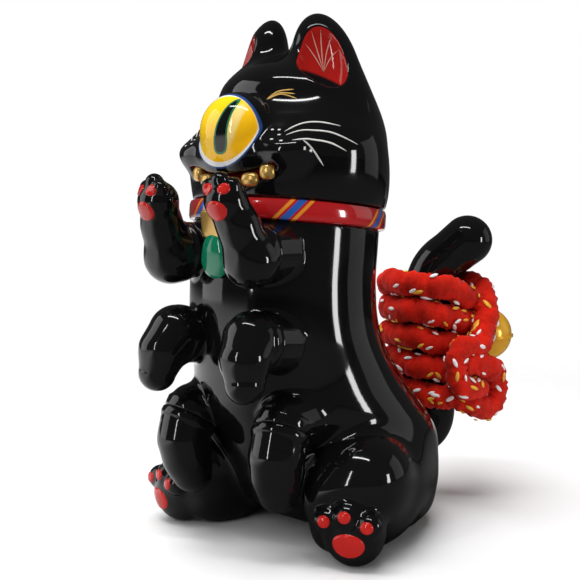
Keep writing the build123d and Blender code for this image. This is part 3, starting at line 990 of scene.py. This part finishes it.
# right of the tail, out towards the bow's front, and height, of the points that the rope passes
BOW_ROUTE = (
    (9.0, 23.5, 60.0),
    (15.0, 22.5, 60.5),
    (21.5, 17.5, 58.0),
    (25.5, 12.0, 53.0),
    (25.8, 11.0, 46.0),
    (22.5, 14.0, 40.5),
    (18.0, 18.5, 40.0),
    (14.5, 21.0, 43.5),
    (9.5, 21.5, 45.0),
    (3.0, 18.5, 45.0),
)
WAY_DOWN = (
    (20.0, 2.0, 90.5),
    (22.0, 6.0, 86.0),
    (21.5, 10.5, 79.0),
    (19.0, 15.5, 71.5),
    (15.0, 20.0, 64.5),
    (11.5, 22.5, 57.0),
)
KNOT_ROUTE = (
    (17.0, 17.5, 64.5),
    (12.5, 24.0, 68.5),
    (7.0, 27.0, 66.0),
    (5.0, 28.5, 59.0),
    (7.5, 28.0, 52.0),
    (13.0, 25.0, 48.0),
    (17.5, 19.0, 49.5),
)


def round_tail(bearing, distance, height):
    """A place about the tail, on a bearing in degrees counted from -Y towards +X."""
    angle = math.radians(bearing)
    return TAIL_AXIS + vec(distance * math.sin(angle), -distance * math.cos(angle), height)


def beside_tail(right, near, height):
    """A place about the tail as the bow faces: to its right, out towards the bow's front, and up."""
    turn = math.radians(BOW_BEARING)
    across = vec(math.cos(turn), math.sin(turn), 0)
    front = vec(math.sin(turn), -math.cos(turn), 0)
    return TAIL_AXIS + right * across + near * front + vec(0, 0, height)


def rope_route(rope):
    """Points that the rope follows: out of the knot, round the bow, up the tail in turns, and down."""
    points = [beside_tail(*place) for place in BOW_ROUTE]
    for i in range(2, int(ROPE_TURNS * ROPE_STEPS) + 1):
        part = i / ROPE_STEPS
        bearing = 45 - 360 * part
        rightward = math.sin(math.radians(bearing - BOW_BEARING))
        frontward = math.cos(math.radians(bearing - BOW_BEARING))
        height = ROPE_BOTTOM + rope / 2 + 1.0 + ROPE_PITCH * part
        lean = -1.6 * min(1.0, part) * rightward + 3.5 * min(1.0, part / 4) * frontward
        sway = 0.45 * math.sin(2.3 * i) + 0.5 * math.sin(0.55 * i)
        out = 0.4 * part - 2.0 * min(1.0, part / 3) * rightward + sway
        points.append(round_tail(bearing, COIL_RADIUS + out, height + lean + 0.5 * math.sin(1.7 * i)))
    return points + [beside_tail(*place) for place in WAY_DOWN]


def smooth_route(name, points):
    """The line of a smooth curve through given control points, as an array in metres."""
    curve = bpy.data.curves.new(name, "CURVE")
    curve.dimensions = "3D"
    spline = curve.splines.new("NURBS")
    spline.points.add(len(points) - 1)
    for node, point in zip(spline.points, points):
        node.co = (*(np.asarray(point) * MM), 1.0)
    spline.order_u = 3
    spline.use_endpoint_u = True
    spline.resolution_u = 6
    holder = bpy.data.objects.new(name, curve)
    bpy.context.scene.collection.objects.link(holder)
    line = bpy.data.meshes.new_from_object(holder)
    path = np.array([v.co[:] for v in line.vertices])
    bpy.data.objects.remove(holder)
    bpy.data.curves.remove(curve)
    bpy.data.meshes.remove(line)
    return path


def run_length(path):
    """How far each point of a path lies along it."""
    return np.concatenate([[0], np.cumsum(np.linalg.norm(np.diff(path, axis=0), axis=1))])


def even(path, step=0.0009):
    """A path resampled at an even step."""
    gone = run_length(path)
    at = np.linspace(0, gone[-1], int(round(gone[-1] / step)) + 1)
    return np.stack([np.interp(at, gone, path[:, k]) for k in range(3)], 1)


def tube_frames(path):
    """Direction and two steady side directions at each point of a path."""
    along = np.gradient(path, axis=0)
    along /= np.linalg.norm(along, axis=1, keepdims=True)
    side = np.cross(along[0], vec(0.3, 0.2, 1.0))
    sides = []
    for way in along:
        side = side - (side @ way) * way
        side = unit(side)
        sides.append(side)
    sides = np.array(sides)
    return along, sides, np.cross(along, sides)


class CAT_OT_rope(CatOperator, bpy.types.Operator):
    """Crepe rope wound on the tail, its knot, and the flecks woven into it"""

    bl_idname = "cat.rope"
    bl_label = "Rope"

    def build(self, sizes, c):
        draw = np.random.default_rng(7)
        cloth = self.crepe(c)
        radius, knot_radius = sizes.rope / 2, sizes.rope / 2 - 0.6
        path = even(smooth_route("rope_route", rope_route(sizes.rope)))
        rope = self.tube("tail_rope", path, radius, draw)
        piece(rope, "tail", "red_crepe_rope", cloth, "tail_rope_coil", "tail_rope_bow")
        knot_path = even(smooth_route("knot_route", [beside_tail(*place) for place in KNOT_ROUTE]))
        knot = self.tube("tail_rope_knot_wrap", knot_path, knot_radius, draw)
        piece(knot, "tail", "red_crepe_rope", cloth, "tail_rope_knot")
        gold = Paint("fleck_gold_foil", metallic=0.2, roughness=0.4)
        gold.mottle(c.fleck_gold, 400.0, (0.85, 0.4, 0.03))
        white = Paint("fleck_white_thread", roughness=0.6)
        white.mottle((0.95, 0.93, 0.93), 400.0, (0.8, 0.72, 0.7))
        tubes = [(path, radius), (knot_path, knot_radius)]
        for name, paint, long in (("gold", gold, 2.2), ("white", white, 2.0)):
            spots = self.flecks(f"{name}_flecks", tubes, sizes.fleck_count, long, draw)
            piece(spots, "tail", "red_crepe_rope", paint.material)

    def tube(self, name, path, radius, draw):
        """A soft tube with the slanting puckers of crepe."""
        around = 28
        _, side, other = tube_frames(path)
        turns = 2 * np.pi * np.arange(around) / around
        phase = draw.uniform(0, 2 * np.pi, 6)
        s, t = run_length(path)[:, None] / MM, turns[None, :]
        pucker = 0.30 * np.sin(2.1 * s + 2 * t + 1.5 * np.sin(0.35 * s + phase[0]))
        pucker += 0.22 * np.sin(3.3 * s - 3 * t + phase[1] + 1.2 * np.sin(0.5 * s + phase[2]))
        pucker += 0.35 * np.sin(0.42 * s + t + phase[3]) + 0.25 * np.sin(0.9 * s - 2 * t + phase[4])
        pucker -= 0.6 * np.exp(-6 * (1 + np.sin(0.75 * s - t + 2 * np.sin(0.2 * s + phase[5]))))
        r = (radius - 0.25 + pucker)[..., None] * MM
        out = np.cos(t)[..., None] * side[:, None] + np.sin(t)[..., None] * other[:, None]
        rings = path[:, None] + r * out
        last = (len(path) - 1) * around
        caps = [tuple(range(around))[::-1], tuple(range(last, last + around))]
        return new_mesh(name, rings.reshape(-1, 3), rings_joined(len(path), around) + caps)

    def flecks(self, name, tubes, count, half_long, draw):
        """Rice-grain flecks scattered over the outside of tubes."""
        rows, around = 5, 8
        points, faces = [], []
        lengths = np.array([len(path) for path, _ in tubes], float)
        frames = [tube_frames(path) for path, _ in tubes]
        for _ in range(count):
            which = draw.choice(len(tubes), p=lengths / lengths.sum())
            path, radius = tubes[which]
            along, side, other = frames[which]
            i = draw.integers(3, len(path) - 3)
            turn = draw.uniform(0, 2 * np.pi)
            out = math.cos(turn) * side[i] + math.sin(turn) * other[i]
            lean = draw.uniform(-0.9, 0.9)
            long_way = along[i] * math.cos(lean) + np.cross(out, along[i]) * math.sin(lean)
            wide_way = np.cross(out, long_way)
            centre = path[i] + out * (radius + 0.05) * MM
            size = draw.uniform(0.7, 1.15)
            start = len(points)
            for u in range(rows):
                polar = math.pi * (u + 0.5) / rows
                for v in range(around):
                    spin = 2 * math.pi * v / around
                    points.append(
                        centre
                        + long_way * math.cos(polar) * half_long * size * MM
                        + wide_way * math.sin(polar) * math.cos(spin) * 0.85 * size * MM
                        + out * math.sin(polar) * math.sin(spin) * 0.5 * size * MM
                    )
            faces += rings_joined(rows, around, start)
            last = start + (rows - 1) * around
            faces += [tuple(range(start, start + around))[::-1], tuple(range(last, last + around))]
        return new_mesh(name, points, faces)

    def crepe(self, c):
        """Puckered red crepe with a soft sheen, and painted shade: broad dark patches that stand for its
        darker folds.
        """
        paint = Paint("crepe_cloth", sheen_weight=0.08, sheen_roughness=0.4, specular_ior_level=0.15)
        fine = paint.noise(900.0, 4.0, 0.6)
        broad = paint.noise(120.0)
        # painted shade: broad noise patches at 0.3 of the rope red, standing for shade in the folds
        painted_fold_shade = tuple(v * 0.3 for v in c.rope_red)
        shade = paint.over(painted_fold_shade, tuple(c.rope_red), (broad * 1.6 - 0.2).larger(0.0).smaller(1.0))
        shade = paint.over(shade, (0.75, 0.03, 0.006), (fine * 0.8 - 0.25).larger(0.0).smaller(1.0))
        paint.set("Base Color", shade)
        paint.set("Roughness", fine * 0.2 + 0.6)
        paint.bump(fine, 0.0004, 0.9)
        return paint.material


class CAT_OT_bell(CatOperator, bpy.types.Operator):
    """Gold ball bell on its thread"""

    bl_idname = "cat.bell"
    bl_label = "Bell"

    def build(self, sizes, c):
        gold = Paint("bell_gold_plate", metallic=0.3, coat_weight=0.4)
        gold.set("Roughness", gold.mottle(c.bell_gold, 80.0, 0.85) * 0.08 + 0.2)
        for node in ("bell_upper_shell", "bell_lower_shell", "bell_eyelet"):
            self.finish(node, gold.material)
        steel = Paint("pellet_steel", metallic=1.0)
        steel.set("Roughness", steel.noise(300.0) * 0.2 + 0.3)
        self.finish("bell_pellet", steel.material)
        thread = Paint("red_thread", roughness=0.7)
        thread.mottle(c.rope_red, 2000.0, (0.3, 0.005, 0.003))
        self.finish("bell_tie", thread.material)

    def finish(self, node, material):
        """Gives a CAD node its finish."""
        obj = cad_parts[node]
        if not obj.data.materials:
            obj.data.materials.append(material)
        for i in range(len(obj.material_slots)):
            obj.material_slots[i].link = "OBJECT"
            obj.material_slots[i].material = material


# azimuth from the face's front and height of the points that each painted stroke passes, on one side
WHISKERS = [
    [(37.7, 150.8), (43.9, 152.8), (51, 154.1), (60, 154.2), (70.5, 153)],
    [(38.7, 149.5), (45, 150.9), (52, 151.3), (64.5, 150.5), (78, 146.6)],
    [(41.8, 147.6), (47, 148.0), (52, 148.0), (62, 147.0), (71, 144.2)],
    [(47.3, 147.6), (50.4, 146.0), (54, 143.4), (58.6, 139.1)],
]
BROW_LINES = [
    [(22, 163.1), (31, 165.6), (44.5, 166.2)],
    [(22, 162.8), (34, 164.6), (46.6, 162.8)],
    [(22, 162.9), (32, 165.0), (45.5, 164.6)],
]
WHISKER_DOTS = [(30.5, 151.5), (34.6, 151.4), (34.8, 149.6), (31.1, 148.0), (36.2, 147.4)]
EAR_HAIR_ROOT = (1.0, -3.0)
EAR_HAIR_TIPS = [(-4.0, 8.0), (-1.0, 12.0), (2.4, 12.0), (5.6, 8.5), (7.4, 3.5)]


class CAT_OT_strokes(CatOperator, bpy.types.Operator):
    """Whiskers, brow lines, whisker dots and ear hairs, brushed on in raised paint"""

    bl_idname = "cat.strokes"
    bl_label = "Brush strokes"

    def build(self, sizes, c):
        white = self.brush_paint("whisker_white_paint", c.paint_white)
        gold = self.brush_paint("brow_gold_paint", c.paint_gold)
        pale = self.brush_paint("ear_hair_paint", (0.75, 0.42, 0.34))
        whiskers, brows, hairs = [], [], []
        for _, side in SIDES:
            whiskers += [self.ribbon(*self.on_face(line, side), 0.34) for line in WHISKERS]
            brows += [self.ribbon(*self.on_face(line, side), 0.24) for line in BROW_LINES]
            hairs += [self.ribbon(*self.in_ear(tip, side), 0.22) for tip in EAR_HAIR_TIPS]
            for azimuth, height in WHISKER_DOTS:
                spot = [(azimuth - 0.8, height), (azimuth, height + 0.1), (azimuth + 0.8, height)]
                whiskers.append(self.ribbon(*self.on_face(spot, side), 0.42, 5))
        for name, strokes, paint in (
            ("whiskers", whiskers, white),
            ("brow_lines", brows, gold),
            ("ear_hairs", hairs, pale),
        ):
            points, faces = [], []
            for more_points, more_faces in strokes:
                faces += [tuple(k + len(points) for k in face) for face in more_faces]
                points += list(more_points)
            piece(new_mesh(name, points, faces), "head", "black_vinyl", paint)

    def brush_paint(self, name, shade):
        """Opaque brushed paint with a little unevenness."""
        paint = Paint(name)
        paint.set("Roughness", paint.mottle(shade, 600.0) * 0.15 + 0.25)
        return paint.material

    def on_face(self, line, side):
        """Evenly spaced places outside the head along a stroke, and the directions towards its surface."""
        line = np.array(line, float)
        at = np.linspace(0, 1, 41)
        ends = np.linspace(0, 1, len(line))
        azimuth = np.radians(eased(at, ends, line[:, 0]))
        height = eased(at, ends, line[:, 1])
        out = np.stack([side * np.sin(azimuth), -np.cos(azimuth), 0 * azimuth], -1)
        axis = np.stack([0 * height, NECK_Y + 3 + 0 * height, height], -1)
        return axis + 60 * out, -out

    def in_ear(self, tip, side):
        """The same for a hair that fans out from the root of the ear's cup."""
        at = np.linspace(0, 1, 25)[:, None]
        flat = (1 - at) * vec(*EAR_HAIR_ROOT) + at * vec(*tip)
        flat[:, 1] += 1.2 * np.sin(np.pi * at[:, 0])
        places = CUP_CENTRE + flat[:, :1] * EAR_ACROSS + flat[:, 1:] * EAR_AXIS + 14 * EAR_FACING
        mirror = vec(side, 1, 1)
        return places * mirror, np.tile(-EAR_FACING * mirror, (len(places), 1))

    def ribbon(self, starts, ways, half_width, taper=9):
        """A thin raised stroke where the places, moved along their directions, meet the head."""
        places = starts.copy()
        for _ in range(60):
            places += head_field(places)[:, None] * 0.7 * ways
        normal = gradient(head_field, places)
        normal /= np.linalg.norm(normal, axis=1, keepdims=True)
        along = np.gradient(places, axis=0)
        along /= np.linalg.norm(along, axis=1, keepdims=True)
        across = np.cross(along, normal)
        count = len(places)
        ends = np.minimum(np.arange(count), np.arange(count)[::-1]) / taper
        wide = half_width * np.clip(0.15 + ends, 0, 1)[:, None]
        rows = [places + wide * across, places + 0.14 * normal, places - wide * across, places - 0.2 * normal]
        points = np.stack(rows, 1).reshape(-1, 3) * MM
        last = 4 * (count - 1)
        return points, [*rings_joined(count, 4), (3, 2, 1, 0), tuple(range(last, last + 4))]


class CAT_PT_panel(bpy.types.Panel):
    """Lists the pieces in the sidebar"""

    bl_label = "Beckoning cat"
    bl_space_type = "VIEW_3D"
    bl_region_type = "UI"
    bl_category = "Cat"

    def draw(self, context):
        for operator in PIECES:
            self.layout.operator(operator.bl_idname)


PIECES = (
    CAT_OT_stage,
    CAT_OT_rope,
    CAT_OT_castings,
    CAT_OT_teeth,
    CAT_OT_strokes,
    CAT_OT_arms,
    CAT_OT_collar,
    CAT_OT_pendant,
    CAT_OT_bell,
)
CLASSES = (CatColours, CatSizes, *PIECES, CAT_PT_panel)


def register():
    for cls in CLASSES:
        bpy.utils.register_class(cls)
    bpy.types.Scene.cat_colours = PointerProperty(type=CatColours)
    bpy.types.Scene.cat_sizes = PointerProperty(type=CatSizes)


def unregister():
    del bpy.types.Scene.cat_sizes
    del bpy.types.Scene.cat_colours
    for cls in reversed(CLASSES):
        bpy.utils.unregister_class(cls)


def main():
    register()
    for operator in PIECES:
        group, name = operator.bl_idname.split(".")
        getattr(getattr(bpy.ops, group), name)()


if __name__ == "__main__":
    main()
